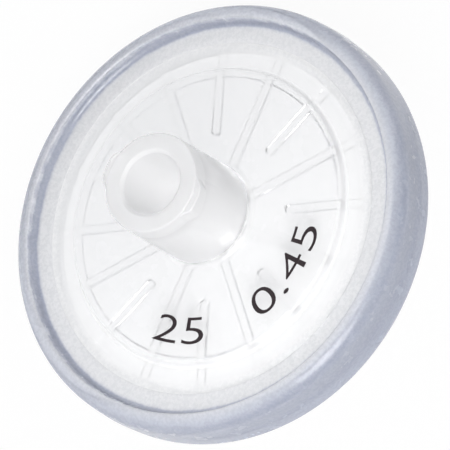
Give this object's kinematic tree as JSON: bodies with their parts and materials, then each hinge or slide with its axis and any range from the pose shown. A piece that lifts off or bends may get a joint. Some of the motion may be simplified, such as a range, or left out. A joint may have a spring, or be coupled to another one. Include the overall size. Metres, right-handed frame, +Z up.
{
  "type": "syringe filter",
  "caption": "Disposable syringe filter with a female Luer lock inlet, a male Luer tip outlet, a white membrane and a grey over-moulded sealing ring, lying on a table.",
  "frame": {"origin": "on the table, under the middle of the filter's box as it lies", "axes": "+Z up from the table; the filter lies on the ring's edge and the outlet tip, its inlet leaning up and towards -Y; +X level, across the lean"},
  "size_m": [0.0304, 0.0266, 0.0203],
  "materials": {
    "clear_polypropylene": "milky translucent, smooth from the mould",
    "grey_polypropylene": "milky translucent blue-grey, smooth from the mould",
    "ptfe_membrane": "dull white, fine grained",
    "printing_ink": "thin black ink, printed on the lid"
  },
  "bodies": {
    "root": {"inlet_housing": "clear_polypropylene", "outlet_housing": "clear_polypropylene", "membrane": "ptfe_membrane", "sealing_ring": "grey_polypropylene"}
  },
  "joints": []
}
